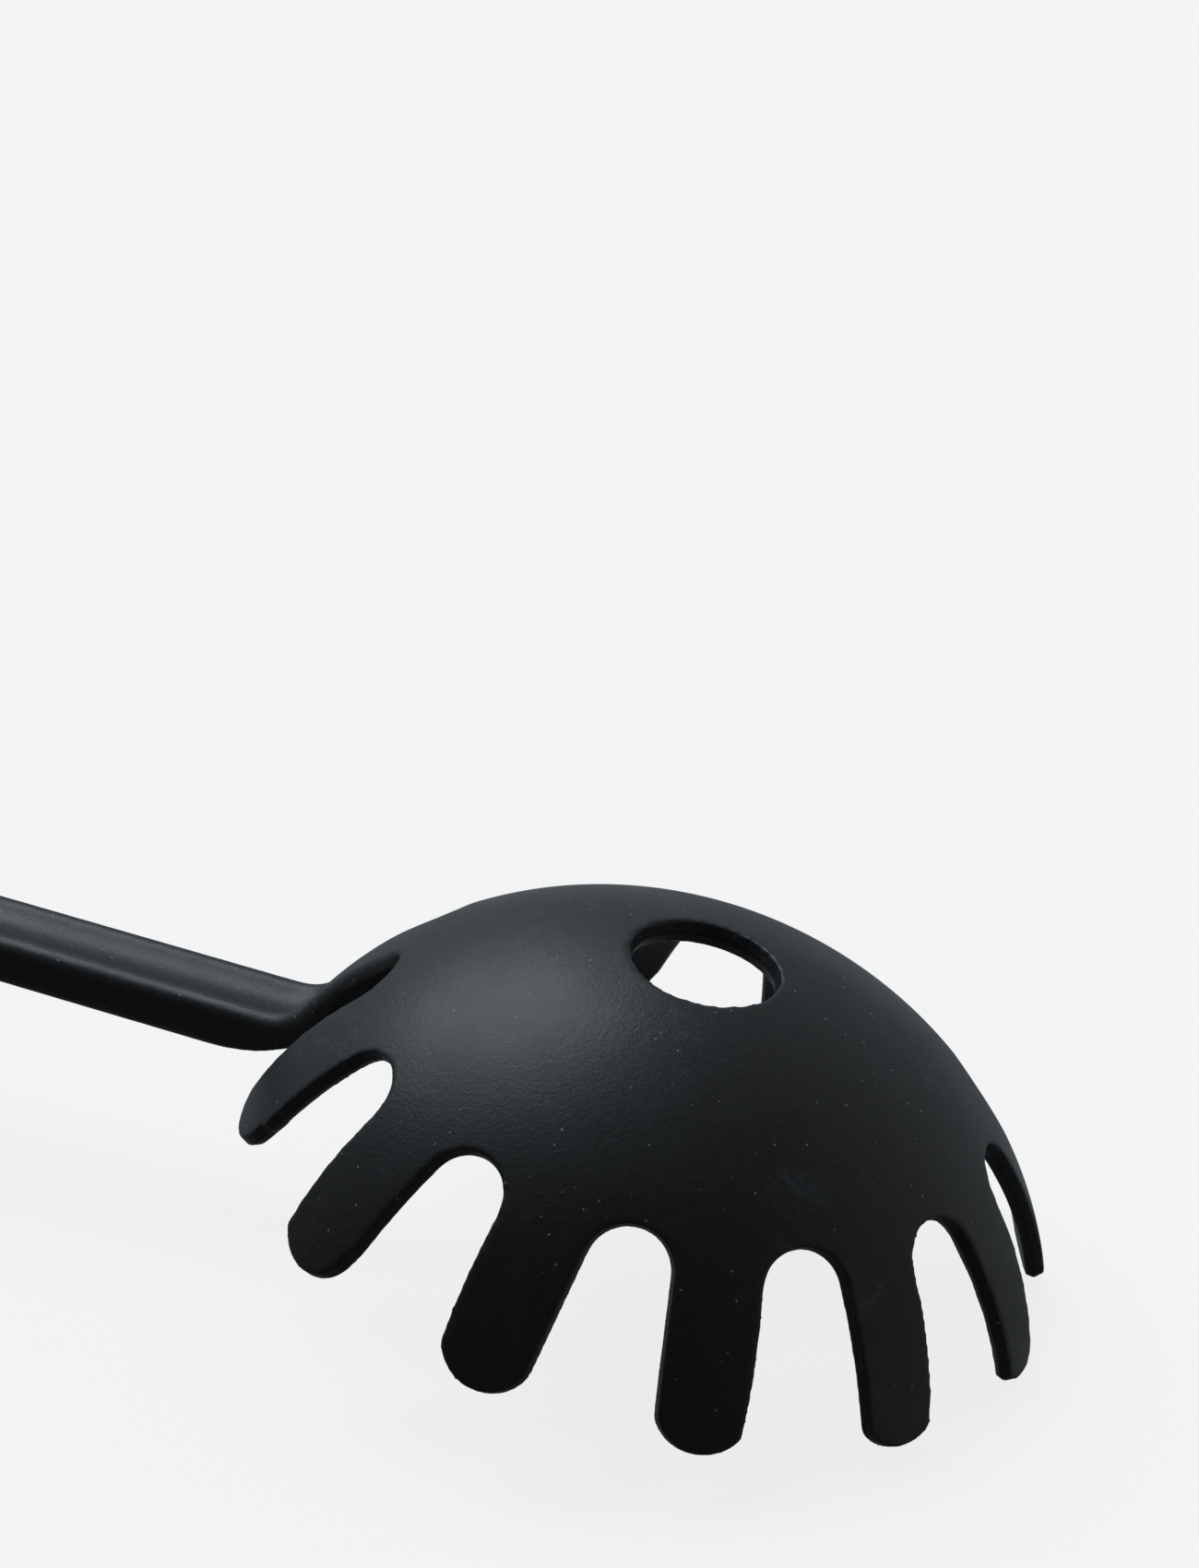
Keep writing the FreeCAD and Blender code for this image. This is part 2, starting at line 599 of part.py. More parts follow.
# what would stand below the table is cut off the cap, which leaves its flat
under_table = primitive("Box", "under_table", Length="4 * {cap_dome}", Width="{grip_rear_width}",
                        Height="{cap_dome}")
rest_turn = FreeCAD.Rotation(Vector(0, 1, 0), size("rest_tilt"))
cap_middle = rest_turn.multVec(GRIP.multVec(Vector(0, 0, rear + size("cap_band"))))
corner = Vector(cap_middle.x - 2 * size("cap_dome"), -0.5 * size("grip_rear_width"),
                table_height() - size("cap_dome"))
under_table.Placement = FreeCAD.Placement(Vector(), rest_turn.inverted()).multiply(
    FreeCAD.Placement(corner, FreeCAD.Rotation()))
cap_pin_hole = cap_pin_solid("cap_pin_hole", size("press_gap"))
cap = cut("end_cap", fuse("cap_blank", [band, dome, spigot] + cheeks),
          fuse("cap_tools", [fork_room, cheek_bore, cap_pin_hole, under_table]))
cap.Label = "end_cap"

link_pin = primitive("Cylinder", "link_pin", Radius="{link_pin_radius}",
                     Height="{knuckle_length} + 2 * ({link_side_gap} + {cheek_thick})")
in_grip(link_pin, along=hinge_place, rotation=TO_ACROSS, across=-0.5 * link_pin_length)
link_pin.Label = "link_pin"


# ---------------------------------------------------------------- hanging link
def link_droop():
    """Angle below the grip's axis at which the link lies with its far edge on the table."""
    pivot = rest_height(GRIP.multVec(Vector(0, 0, hinge_place))) - table_height()
    far = size("link_reach") + size("hang_radius") + size("link_rim")
    half = 0.5 * size("link_thick")
    reach = math.hypot(far, half)
    below_level = math.asin(pivot / reach) - math.atan2(half, far)
    return math.degrees(below_level) - (grip_fall - size("rest_tilt"))


droop = link_droop()
link_turn = FreeCAD.Rotation(Vector(0, 1, 0), -droop)
LINK = GRIP.multiply(FreeCAD.Placement(Vector(0, 0, hinge_place), link_turn))


def in_link(obj, local, rotation=None):
    """Place an object in the link's frame: Z along the plate, X through it, Y along the pin."""
    obj.Placement = LINK.multiply(FreeCAD.Placement(local, rotation or FreeCAD.Rotation()))
    return obj


knuckle = primitive("Cylinder", "knuckle", Radius="{knuckle_radius}", Height="{knuckle_length}")
in_link(knuckle, Vector(0, -0.5 * size("knuckle_length"), 0), TO_ACROSS)
tab = primitive("Box", "link_tab", Length="{link_thick}", Width="{knuckle_length}", Height="{link_reach}")
in_link(tab, Vector(-0.5 * size("link_thick"), -0.5 * size("knuckle_length"), 0))
eye = primitive("Cylinder", "link_eye", Radius="{hang_radius} + {link_rim}", Height="{link_thick}")
in_link(eye, Vector(-0.5 * size("link_thick"), 0, size("link_reach")), TO_UP)
hang_hole = primitive("Cylinder", "hang_hole", Radius="{hang_radius}", Height="{link_thick} + 2 * {overrun}")
in_link(hang_hole, Vector(-0.5 * size("link_thick") - size("overrun"), 0, size("link_reach")), TO_UP)
pin_bore = primitive("Cylinder", "link_bore", Radius="{link_pin_radius} + {link_run_gap}",
                     Height="{knuckle_length} + 2 * {overrun}")
in_link(pin_bore, Vector(0, -0.5 * size("knuckle_length") - size("overrun"), 0), TO_ACROSS)
link = cut("hanging_link", fuse("link_blank", [knuckle, tab, eye]),
           fuse("link_tools", [hang_hole, pin_bore]))
link.Label = "hanging_link"

doc.recompute()
for obj in doc.Objects:
    if "Invalid" in obj.State or "Error" in obj.State:
        raise RuntimeError("failed object: %s %s" % (obj.Label, obj.State))

# ---------------------------------------------------------------- stand the server on the table
NODES = [head, tang_pins, collar, core, sleeve, cap_pin, cap, link_pin, link]
tilt = FreeCAD.Placement(Vector(0, 0, -table_height()),
                         FreeCAD.Rotation(Vector(0, 1, 0), size("rest_tilt")))


def standing(node, move):
    """The node's shape moved by a placement of the whole server."""
    shape = node.Shape.copy()
    shape.Placement = move.multiply(shape.Placement)
    return shape


front_box = standing(head, tilt).optimalBoundingBox(False)
link_box = standing(link, tilt).optimalBoundingBox(False)
floor = min(front_box.ZMin, standing(cap, tilt).optimalBoundingBox(False).ZMin)
middle = 0.5 * (front_box.XMax + link_box.XMin)
stand = FreeCAD.Placement(Vector(-middle, 0, -floor), FreeCAD.Rotation()).multiply(tilt)

os.makedirs("parts", exist_ok=True)
for node in NODES:
    shape = standing(node, stand)
    if shape.isNull() or not shape.isValid():
        raise RuntimeError("bad shape: " + node.Label)
    box = shape.optimalBoundingBox(False)
    print("%-14s solids %d  volume %9.1f  x %.2f..%.2f  y %.2f..%.2f  z %.2f..%.2f" % (
        node.Label, len(shape.Solids), shape.Volume, box.XMin, box.XMax, box.YMin, box.YMax,
        box.ZMin, box.ZMax))
    shape.exportStep("parts/%s.step" % node.Label)
print("link pin at %s, hanging hole at %s" % (
    stand.multVec(GRIP.multVec(Vector(0, 0, hinge_place))),
    stand.multVec(LINK.multVec(Vector(0, 0, size("link_reach"))))))
print("grip fall %.3f, link droop %.3f, bowl centre at x %.4f z %.4f" % (
    grip_fall, droop, -middle, -floor - table_height()))
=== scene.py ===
"""Pasta server: the visible pieces, their finishes and the studio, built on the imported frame."""
import json
import logging
import math
from dataclasses import dataclass, field
from enum import Enum
from typing import Any, Optional

import bmesh
import bpy
import numpy as np
from mathutils import Matrix, Vector

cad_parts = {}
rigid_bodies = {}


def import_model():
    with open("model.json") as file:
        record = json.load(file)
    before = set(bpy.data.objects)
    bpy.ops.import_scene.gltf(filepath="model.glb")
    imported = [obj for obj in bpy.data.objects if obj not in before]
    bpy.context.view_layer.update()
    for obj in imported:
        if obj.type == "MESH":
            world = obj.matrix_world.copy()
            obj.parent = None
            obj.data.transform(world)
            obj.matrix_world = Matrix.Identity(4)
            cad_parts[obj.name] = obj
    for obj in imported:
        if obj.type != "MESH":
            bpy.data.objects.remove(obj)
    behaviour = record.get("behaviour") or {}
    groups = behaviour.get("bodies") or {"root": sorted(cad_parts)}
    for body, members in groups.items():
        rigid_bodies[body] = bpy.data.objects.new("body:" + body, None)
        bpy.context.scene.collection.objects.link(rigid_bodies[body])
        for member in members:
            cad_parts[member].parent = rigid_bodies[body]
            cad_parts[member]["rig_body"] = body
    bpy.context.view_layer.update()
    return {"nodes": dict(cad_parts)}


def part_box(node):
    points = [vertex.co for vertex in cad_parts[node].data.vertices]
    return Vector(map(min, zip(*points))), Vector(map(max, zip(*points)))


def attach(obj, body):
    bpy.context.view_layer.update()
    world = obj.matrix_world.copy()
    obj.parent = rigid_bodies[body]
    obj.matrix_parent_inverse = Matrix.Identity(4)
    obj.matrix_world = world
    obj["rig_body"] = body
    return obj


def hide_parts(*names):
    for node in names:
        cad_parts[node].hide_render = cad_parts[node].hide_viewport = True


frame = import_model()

MM = 0.001
LOG = logging.getLogger("pasta_server")


# ------------------------------------------------------------------ small helpers
def linear(code: str) -> tuple[float, float, float, float]:
    """Linear RGBA of an sRGB hex colour.

    Args:
        code: Six hex digits, such as "1A1C1D".

    Returns:
        The colour as Blender's sockets take it, with alpha 1.
    """
    channels = [int(code[i:i + 2], 16) / 255 for i in (0, 2, 4)]
    flat = [c / 12.92 if c <= 0.04045 else ((c + 0.055) / 1.055) ** 2.4 for c in channels]
    return (flat[0], flat[1], flat[2], 1.0)


def per_metre(size_mm: float) -> float:
    """Texture scale that repeats about once in a real size in millimetres."""
    return 1.0 / (size_mm * MM)


def add_node(tree: bpy.types.NodeTree, kind: str, settings: Optional[dict[str, Any]] = None,
             inputs: Optional[dict[Any, Any]] = None) -> bpy.types.Node:
    """Add one shader node with its settings and links.

    Args:
        tree: The node tree that gets the node.
        kind: Blender's node type name.
        settings: Attributes of the node.
        inputs: Socket name or index to a plain value, or to the output socket that feeds it.

    Returns:
        The new node.
    """
    made = tree.nodes.new(kind)
    for name, value in (settings or {}).items():
        setattr(made, name, value)
    for name, value in (inputs or {}).items():
        if isinstance(value, bpy.types.NodeSocket):
            tree.links.new(value, made.inputs[name])
        else:
            made.inputs[name].default_value = value
    return made


def new_material(name: str) -> tuple[bpy.types.Material, bpy.types.NodeTree]:
    """Start a node material.

    Args:
        name: Name of the material.

    Returns:
        The empty material and its node tree.
    """
    material = bpy.data.materials.new(name)
    material.use_nodes = True
    material.node_tree.nodes.clear()
    return material, material.node_tree


def mesh_object(name: str, mesh: bpy.types.Mesh) -> bpy.types.Object:
    """Show a mesh in the scene.

    Args:
        name: Name of the new object.
        mesh: The mesh that it shows.

    Returns:
        The linked object.
    """
    made = bpy.data.objects.new(name, mesh)
    bpy.context.scene.collection.objects.link(made)
    return made


def dress(piece: bpy.types.Object, material: bpy.types.Material) -> None:
    """Give a piece one material in every slot."""
    piece.data.materials.clear()
    piece.data.materials.append(material)


def stand_in(piece: bpy.types.Object, node: str) -> None:
    """Let a piece stand for a CAD node.

    Args:
        piece: The visible piece.
        node: The CAD node whose body it rides on and which it replaces.
    """
    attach(piece, frame["nodes"][node]["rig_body"])
    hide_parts(node)


# ------------------------------------------------------------------ mesh work
MERGE_DISTANCE = 2e-6                  # vertices closer than this are one
FLAT_ANGLE = math.radians(0.4)         # triangles this flat to each other are one face
SHARP_ANGLE = math.radians(32)         # edges sharper than this are broken


def vertex_array(mesh: bpy.types.Mesh) -> np.ndarray:
    """Read a mesh's vertex positions.

    Args:
        mesh: The mesh to read.

    Returns:
        The positions, N by 3.
    """
    flat = np.empty(len(mesh.vertices) * 3)
    mesh.vertices.foreach_get("co", flat)
    return flat.reshape(-1, 3)


def vertex_normals(mesh: bpy.types.Mesh) -> np.ndarray:
    """Read a mesh's vertex normals.

    Args:
        mesh: The mesh to read.

    Returns:
        The unit normals, N by 3.
    """
    flat = np.empty(len(mesh.vertices) * 3, np.float32)
    mesh.vertex_normals.foreach_get("vector", flat)
    return flat.reshape(-1, 3).astype(float)


def set_vertices(mesh: bpy.types.Mesh, points: np.ndarray) -> None:
    """Write vertex positions back to a mesh."""
    mesh.vertices.foreach_set("co", points.ravel())
    mesh.update()


def averaged(mesh: bpy.types.Mesh, values: np.ndarray, rounds: int, amount: float = 0.5) -> np.ndarray:
    """Average each vertex's values with its neighbours'.

    Args:
        mesh: The mesh whose edges say who the neighbours are.
        values: One row per vertex.
        rounds: How many passes; each one spreads the values further.
        amount: Share of the way to the neighbours' mean in one pass.

    Returns:
        The averaged rows.
    """
    edges = np.empty(len(mesh.edges) * 2, np.int64)
    mesh.edges.foreach_get("vertices", edges)
    a, b = edges.reshape(-1, 2).T
    count = np.bincount(np.concatenate([a, b]), minlength=len(values))[:, None]
    result = values.copy()
    for _ in range(rounds):
        total = np.empty_like(result)
        for axis in range(result.shape[1]):
            total[:, axis] = (np.bincount(a, result[b, axis], len(result))
                              + np.bincount(b, result[a, axis], len(result)))
        result += amount * (total / count - result)
    return result


def moulded_copy(name: str, node: str, grain: float, rounds: int) -> bpy.types.Object:
    """A finer copy of a CAD node with evenly rounded edges.

    Args:
        name: Name of the new piece.
        node: The CAD node that it copies.
        grain: Mesh spacing in metres.
        rounds: Passes of rounding.

    Returns:
        The new object, in the row frame.
    """
    source = mesh_object(name + "_blank", frame["nodes"][node].data.copy())
    remesh = source.modifiers.new("even_mesh", "REMESH")
    remesh.mode = "VOXEL"
    remesh.voxel_size = grain
    remesh.adaptivity = 0.0
    graph = bpy.context.evaluated_depsgraph_get()
    mesh = bpy.data.meshes.new_from_object(source.evaluated_get(graph))
    mesh.name = name
    bpy.data.objects.remove(source)
    set_vertices(mesh, averaged(mesh, vertex_array(mesh), rounds))
    mesh.polygons.foreach_set("use_smooth", np.ones(len(mesh.polygons), bool))
    return mesh_object(name, mesh)


def machined_copy(name: str, node: str, edge: float, segments: int = 3) -> bpy.types.Object:
    """A copy of a CAD node with its triangles merged and its sharp edges broken.

    Args:
        name: Name of the new piece.
        node: The CAD node that it copies.
        edge: Width of the broken edge in metres.
        segments: Steps across that edge.

    Returns:
        The new object, in the row frame.
    """
    mesh = frame["nodes"][node].data.copy()
    mesh.name = name
    shape = bmesh.new()
    shape.from_mesh(mesh)
    bmesh.ops.remove_doubles(shape, verts=shape.verts, dist=MERGE_DISTANCE)
    bmesh.ops.dissolve_limit(shape, angle_limit=FLAT_ANGLE, verts=shape.verts, edges=shape.edges)
    shape.to_mesh(mesh)
    shape.free()
    made = mesh_object(name, mesh)
    bevel = made.modifiers.new("broken_edge", "BEVEL")
    bevel.width = edge
    bevel.segments = segments
    bevel.limit_method = "ANGLE"
    bevel.angle_limit = SHARP_ANGLE
    bevel.harden_normals = True
    graph = bpy.context.evaluated_depsgraph_get()
    finished = bpy.data.meshes.new_from_object(made.evaluated_get(graph))
    made.modifiers.clear()
    made.data = finished
    finished.polygons.foreach_set("use_smooth", np.ones(len(finished.polygons), bool))
    return made


def keep_inside(mesh: bpy.types.Mesh, node: str) -> None:
    """Hold a mesh within the box of its CAD node, such as at the table under the teeth."""
    low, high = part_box(node)
    set_vertices(mesh, np.clip(vertex_array(mesh), tuple(low), tuple(high)))


def ellipsoid_offset(points: np.ndarray, axes: np.ndarray) -> tuple[np.ndarray, np.ndarray]:
    """Height of points above an ellipsoid's face, and the outward direction there.

    Args:
        points: N by 3 positions in the ellipsoid's frame.
        axes: Its three semi-axes.

    Returns:
        The N heights and the N outward unit vectors.
    """
    level = np.sqrt(((points / axes) ** 2).sum(1))
    slope = points / axes ** 2 / level[:, None]
    steep = np.linalg.norm(slope, axis=1)
    return (level - 1) / steep, slope / steep[:, None]


# ------------------------------------------------------------------ finishes
class Slot(Enum):
    """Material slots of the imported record."""

    NYLON = "black_nylon"
    STEEL = "satin_steel"
    CORE = "core_plastic"
    GRIP = "soft_grip"
    PIN = "pin_steel"
    LINK = "link_steel"


@dataclass(frozen=True)
class BowlFrame:
    """The bowl's own frame: centre of its ellipsoid and its tilt as it lies."""

    half_length: float = 36.3 * MM
    half_width: float = 34.0 * MM
    depth: float = 32.8 * MM
    wall: float = 1.6 * MM
    crown_wall: float = 2.2 * MM
    tilt: float = math.radians(13.2)
    front_to_centre: float = 36.100 * MM
    crown_to_centre: float = 32.990 * MM

    def centre(self) -> Vector:
        """Centre of the bowl's ellipsoid in the row frame."""
        low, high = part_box("server_head")
        return Vector((high.x - self.front_to_centre, 0, high.z - self.crown_to_centre))

    def matrix(self) -> Matrix:
        """Bowl frame to row frame."""
        return Matrix.Translation(self.centre()) @ Matrix.Rotation(self.tilt, 4, "Y")

    def outer(self) -> np.ndarray:
        """Semi-axes of the outer face."""
        return np.array([self.half_length, self.half_width, self.depth])

    def inner(self) -> np.ndarray:
        """Semi-axes of the inner face."""
        return self.outer() - np.array([self.wall, self.wall, self.crown_wall])


BOWL = BowlFrame()


@dataclass(frozen=True)
class Rub:
    """One rubbed place on the bowl: where it is in the bowl's frame, and its radius."""

    place_mm: tuple[float, float, float]
    radius_mm: float
    strength: float


@dataclass(frozen=True)
class MouldedNylon:
    """Black unfilled nylon 66 from a spark-eroded mould.

    It looks charcoal where it faces the light and nearly black elsewhere, with a fine matt
    grain, a few rubbed places and specks of dust.
    """

    name: str = "nylon66_black_moulded_matt"
    colour: str = "101012"
    hazed: str = "1E1F21"
    rubbed: str = "5A5F61"
    dust: str = "C2C4C0"
    ior: float = 1.53
    roughness: float = 0.44
    roughness_spread: float = 0.05
    grain_mm: float = 0.46
    grain_height_mm: float = 0.040
    fine_mm: float = 0.24
    fine_share: float = 0.35
    haze_mm: float = 0.9
    cloud_mm: float = 14.0
    scuff_mm: float = 4.0
    scuff_range: tuple[float, float] = (0.50, 0.68)
    scuff_everywhere: float = 0.06
    haze_range: tuple[float, float] = (0.45, 0.70)
    dust_pitch_mm: float = 0.95
    dust_share: float = 0.55
    dust_radius_mm: float = 0.11
    rubs: tuple[Rub, ...] = (Rub((17.0, -15.5, 24.5), 4.4, 0.70), Rub((24.0, -14.5, 19.5), 3.2, 0.60),
                             Rub((-17.0, -25.0, 12.0), 3.4, 0.50), Rub((1.0, -8.0, 31.6), 7.0, 0.50),
                             Rub((-24.0, -13.0, 19.5), 4.0, 0.60), Rub((-14.0, -6.0, 29.3), 6.0, 0.45))

    def rub_mask(self, tree: bpy.types.NodeTree, where: bpy.types.NodeSocket) -> bpy.types.NodeSocket:
        """Sum of the rubbed places, each fading out to its radius.

        Args:
            tree: The material's node tree.
            where: Position in the row frame.

        Returns:
            The socket with the mask.
        """
        total = None
        for rub in self.rubs:
            place = BOWL.matrix() @ (Vector(rub.place_mm) * MM)
            away = add_node(tree, "ShaderNodeVectorMath", {"operation": "DISTANCE"}, {
                0: where, 1: tuple(place)})
            spot = add_node(tree, "ShaderNodeMapRange", {"interpolation_type": "SMOOTHSTEP"}, {
                "Value": away.outputs["Value"], "From Min": 0.0, "From Max": rub.radius_mm * MM,
                "To Min": rub.strength, "To Max": 0.0}).outputs["Result"]
            total = spot if total is None else add_node(
                tree, "ShaderNodeMath", {"operation": "MAXIMUM"}, {0: total, 1: spot}).outputs["Value"]
        return total

    def build(self) -> bpy.types.Material:
        """Make the material.

        Returns:
            The finished material.
        """
        material, tree = new_material(self.name)
        where = add_node(tree, "ShaderNodeTexCoord").outputs["Object"]
        cloud = add_node(tree, "ShaderNodeTexNoise", inputs={
            "Vector": where, "Scale": per_metre(self.cloud_mm), "Detail": 4.0, "Roughness": 0.6})
        scuff = add_node(tree, "ShaderNodeTexNoise", inputs={
            "Vector": where, "Scale": per_metre(self.scuff_mm), "Detail": 9.0, "Roughness": 0.75,
            "Distortion": 1.4})
        broken = add_node(tree, "ShaderNodeMapRange", inputs={
            "Value": scuff.outputs["Fac"], "From Min": self.scuff_range[0],
            "From Max": self.scuff_range[1], "To Min": 0.0, "To Max": 1.0})
        rubbed_at = add_node(tree, "ShaderNodeMath", {"operation": "MULTIPLY"}, {
            0: broken.outputs["Result"], 1: self.rub_mask(tree, where)})
        faint = add_node(tree, "ShaderNodeMath", {"operation": "MULTIPLY_ADD"}, {
            0: broken.outputs["Result"], 1: self.scuff_everywhere, 2: rubbed_at.outputs["Value"]})
        haze = add_node(tree, "ShaderNodeTexNoise", inputs={
            "Vector": where, "Scale": per_metre(self.haze_mm), "Detail": 6.0, "Roughness": 0.8})
        hazy = add_node(tree, "ShaderNodeMapRange", inputs={
            "Value": haze.outputs["Fac"], "From Min": self.haze_range[0],
            "From Max": self.haze_range[1], "To Min": 0.0, "To Max": 1.0})
        base = add_node(tree, "ShaderNodeMix", {"data_type": "RGBA"}, {
            "Factor": hazy.outputs["Result"], 6: linear(self.colour), 7: linear(self.hazed)})
        rubbed = add_node(tree, "ShaderNodeMix", {"data_type": "RGBA"}, {
            "Factor": faint.outputs["Value"], 6: base.outputs[2], 7: linear(self.rubbed)})
        specks = add_node(tree, "ShaderNodeTexVoronoi", {"feature": "F1"}, {
            "Vector": where, "Scale": per_metre(self.dust_pitch_mm), "Randomness": 1.0})
        radius = self.dust_radius_mm / self.dust_pitch_mm
        speck_shape = add_node(tree, "ShaderNodeMapRange", inputs={
            "Value": specks.outputs["Distance"], "From Min": 0.6 * radius, "From Max": radius,
            "To Min": 0.6, "To Max": 0.0})
        rare = add_node(tree, "ShaderNodeSeparateColor", inputs={"Color": specks.outputs["Color"]})
        chosen = add_node(tree, "ShaderNodeMath", {"operation": "GREATER_THAN"}, {
            0: rare.outputs["Red"], 1: self.dust_share})
        speck = add_node(tree, "ShaderNodeMath", {"operation": "MULTIPLY"}, {
            0: speck_shape.outputs["Result"], 1: chosen.outputs["Value"]})
        speck_soft = add_node(tree, "ShaderNodeMath", {"operation": "MULTIPLY"}, {
            0: speck.outputs["Value"], 1: rare.outputs["Green"]})
        colour = add_node(tree, "ShaderNodeMix", {"data_type": "RGBA"}, {
            "Factor": speck_soft.outputs["Value"], 6: rubbed.outputs[2], 7: linear(self.dust)})
        rough = add_node(tree, "ShaderNodeMapRange", inputs={
            "Value": cloud.outputs["Fac"], "From Min": 0.3, "From Max": 0.7,
            "To Min": self.roughness - self.roughness_spread,
            "To Max": self.roughness + self.roughness_spread})
        grain = add_node(tree, "ShaderNodeTexNoise", inputs={
            "Vector": where, "Scale": per_metre(self.grain_mm), "Detail": 2.0, "Roughness": 0.55,
            "Distortion": 0.6})
        fine = add_node(tree, "ShaderNodeTexNoise", inputs={
            "Vector": where, "Scale": per_metre(self.fine_mm), "Detail": 2.0})
        height = add_node(tree, "ShaderNodeMix", {"data_type": "FLOAT"}, {
            0: self.fine_share, 2: grain.outputs["Fac"], 3: fine.outputs["Fac"]})
        bump = add_node(tree, "ShaderNodeBump", inputs={
            "Height": height.outputs[0], "Distance": self.grain_height_mm * MM, "Strength": 1.0})
        shader = add_node(tree, "ShaderNodeBsdfPrincipled", inputs={
            "Base Color": colour.outputs[2], "Roughness": rough.outputs["Result"], "IOR": self.ior,
            "Normal": bump.outputs["Normal"]})
        add_node(tree, "ShaderNodeOutputMaterial", inputs={"Surface": shader.outputs["BSDF"]})
        return material


@dataclass(frozen=True)
class SatinSteel:
    """Stainless steel, satin-ground or tumbled, with fine streaks along one axis."""

    name: str
    colour: str = "C6C5C2"
    roughness: float = 0.30
    streak_mm: float = 0.25
    stretch: tuple[float, float, float] = (0.04, 1.0, 1.0)
    streak_height_mm: float = 0.004
    smoother: float = 0.07
    rougher: float = 0.08

    def build(self) -> bpy.types.Material:
        """Make the material.

        Returns:
            The finished material.
        """
        material, tree = new_material(self.name)
        where = add_node(tree, "ShaderNodeTexCoord").outputs["Object"]
        along = add_node(tree, "ShaderNodeMapping", inputs={"Vector": where, "Scale": self.stretch})
        streak = add_node(tree, "ShaderNodeTexNoise", inputs={
            "Vector": along.outputs["Vector"], "Scale": per_metre(self.streak_mm), "Detail": 4.0,
            "Roughness": 0.65})
        rough = add_node(tree, "ShaderNodeMapRange", inputs={
            "Value": streak.outputs["Fac"], "From Min": 0.3, "From Max": 0.7,
            "To Min": self.roughness - self.smoother, "To Max": self.roughness + self.rougher})
        bump = add_node(tree, "ShaderNodeBump", inputs={
            "Height": streak.outputs["Fac"], "Distance": self.streak_height_mm * MM, "Strength": 1.0})
        shader = add_node(tree, "ShaderNodeBsdfPrincipled", inputs={
            "Base Color": linear(self.colour), "Metallic": 1.0, "Roughness": rough.outputs["Result"],
            "Normal": bump.outputs["Normal"]})
        add_node(tree, "ShaderNodeOutputMaterial", inputs={"Surface": shader.outputs["BSDF"]})
        return material


@dataclass(frozen=True)
class SoftElastomer:
    """Thermoplastic elastomer with a spark-eroded mould texture: dead matt, slightly dusty."""

    name: str = "tpe_black_overmoulded"
    colour: str = "1B1C1E"
    worn: str = "2C2E30"
    ior: float = 1.48
    roughness: float = 0.68
    grain_mm: float = 0.5
    grain_height_mm: float = 0.03
    wear_mm: float = 9.0
    wear_share: float = 0.6
    sheen: float = 0.08

    def build(self) -> bpy.types.Material:
        """Make the material.

        Returns:
            The finished material.
        """
        material, tree = new_material(self.name)
        where = add_node(tree, "ShaderNodeTexCoord").outputs["Object"]
        wear = add_node(tree, "ShaderNodeTexNoise", inputs={
            "Vector": where, "Scale": per_metre(self.wear_mm), "Detail": 5.0, "Roughness": 0.6})
        wear_mask = add_node(tree, "ShaderNodeMapRange", inputs={
            "Value": wear.outputs["Fac"], "From Min": 0.45, "From Max": 0.7,
            "To Min": 0.0, "To Max": self.wear_share})
        colour = add_node(tree, "ShaderNodeMix", {"data_type": "RGBA"}, {
            "Factor": wear_mask.outputs["Result"], 6: linear(self.colour), 7: linear(self.worn)})
        grain = add_node(tree, "ShaderNodeTexVoronoi", {"feature": "SMOOTH_F1"}, {
            "Vector": where, "Scale": per_metre(self.grain_mm), "Smoothness": 0.6})
        bump = add_node(tree, "ShaderNodeBump", inputs={
            "Height": grain.outputs["Distance"], "Distance": self.grain_height_mm * MM, "Strength": 1.0})
        shader = add_node(tree, "ShaderNodeBsdfPrincipled", inputs={
            "Base Color": colour.outputs[2], "Roughness": self.roughness, "IOR": self.ior,
            "Sheen Weight": self.sheen, "Sheen Roughness": 0.5, "Normal": bump.outputs["Normal"]})
        add_node(tree, "ShaderNodeOutputMaterial", inputs={"Surface": shader.outputs["BSDF"]})
        return material


@dataclass(frozen=True)
class CorePlastic:
    """Glass-filled polypropylene, injection moulded: dull, with a faint flow pattern."""

    name: str = "polypropylene_gf_moulded"
    colour: str = "232426"
    streaked: str = "303234"
    ior: float = 1.49
    roughness: float = 0.55
    flow_mm: float = 6.0

    def build(self) -> bpy.types.Material:
        """Make the material.

        Returns:
            The finished material.
        """
        material, tree = new_material(self.name)
        where = add_node(tree, "ShaderNodeTexCoord").outputs["Object"]
        flow = add_node(tree, "ShaderNodeTexNoise", inputs={
            "Vector": where, "Scale": per_metre(self.flow_mm), "Detail": 6.0, "Distortion": 1.2})
        colour = add_node(tree, "ShaderNodeMix", {"data_type": "RGBA"}, {
            "Factor": flow.outputs["Fac"], 6: linear(self.colour), 7: linear(self.streaked)})
        shader = add_node(tree, "ShaderNodeBsdfPrincipled", inputs={
            "Base Color": colour.outputs[2], "Roughness": self.roughness, "IOR": self.ior})
        add_node(tree, "ShaderNodeOutputMaterial", inputs={"Surface": shader.outputs["BSDF"]})
        return material


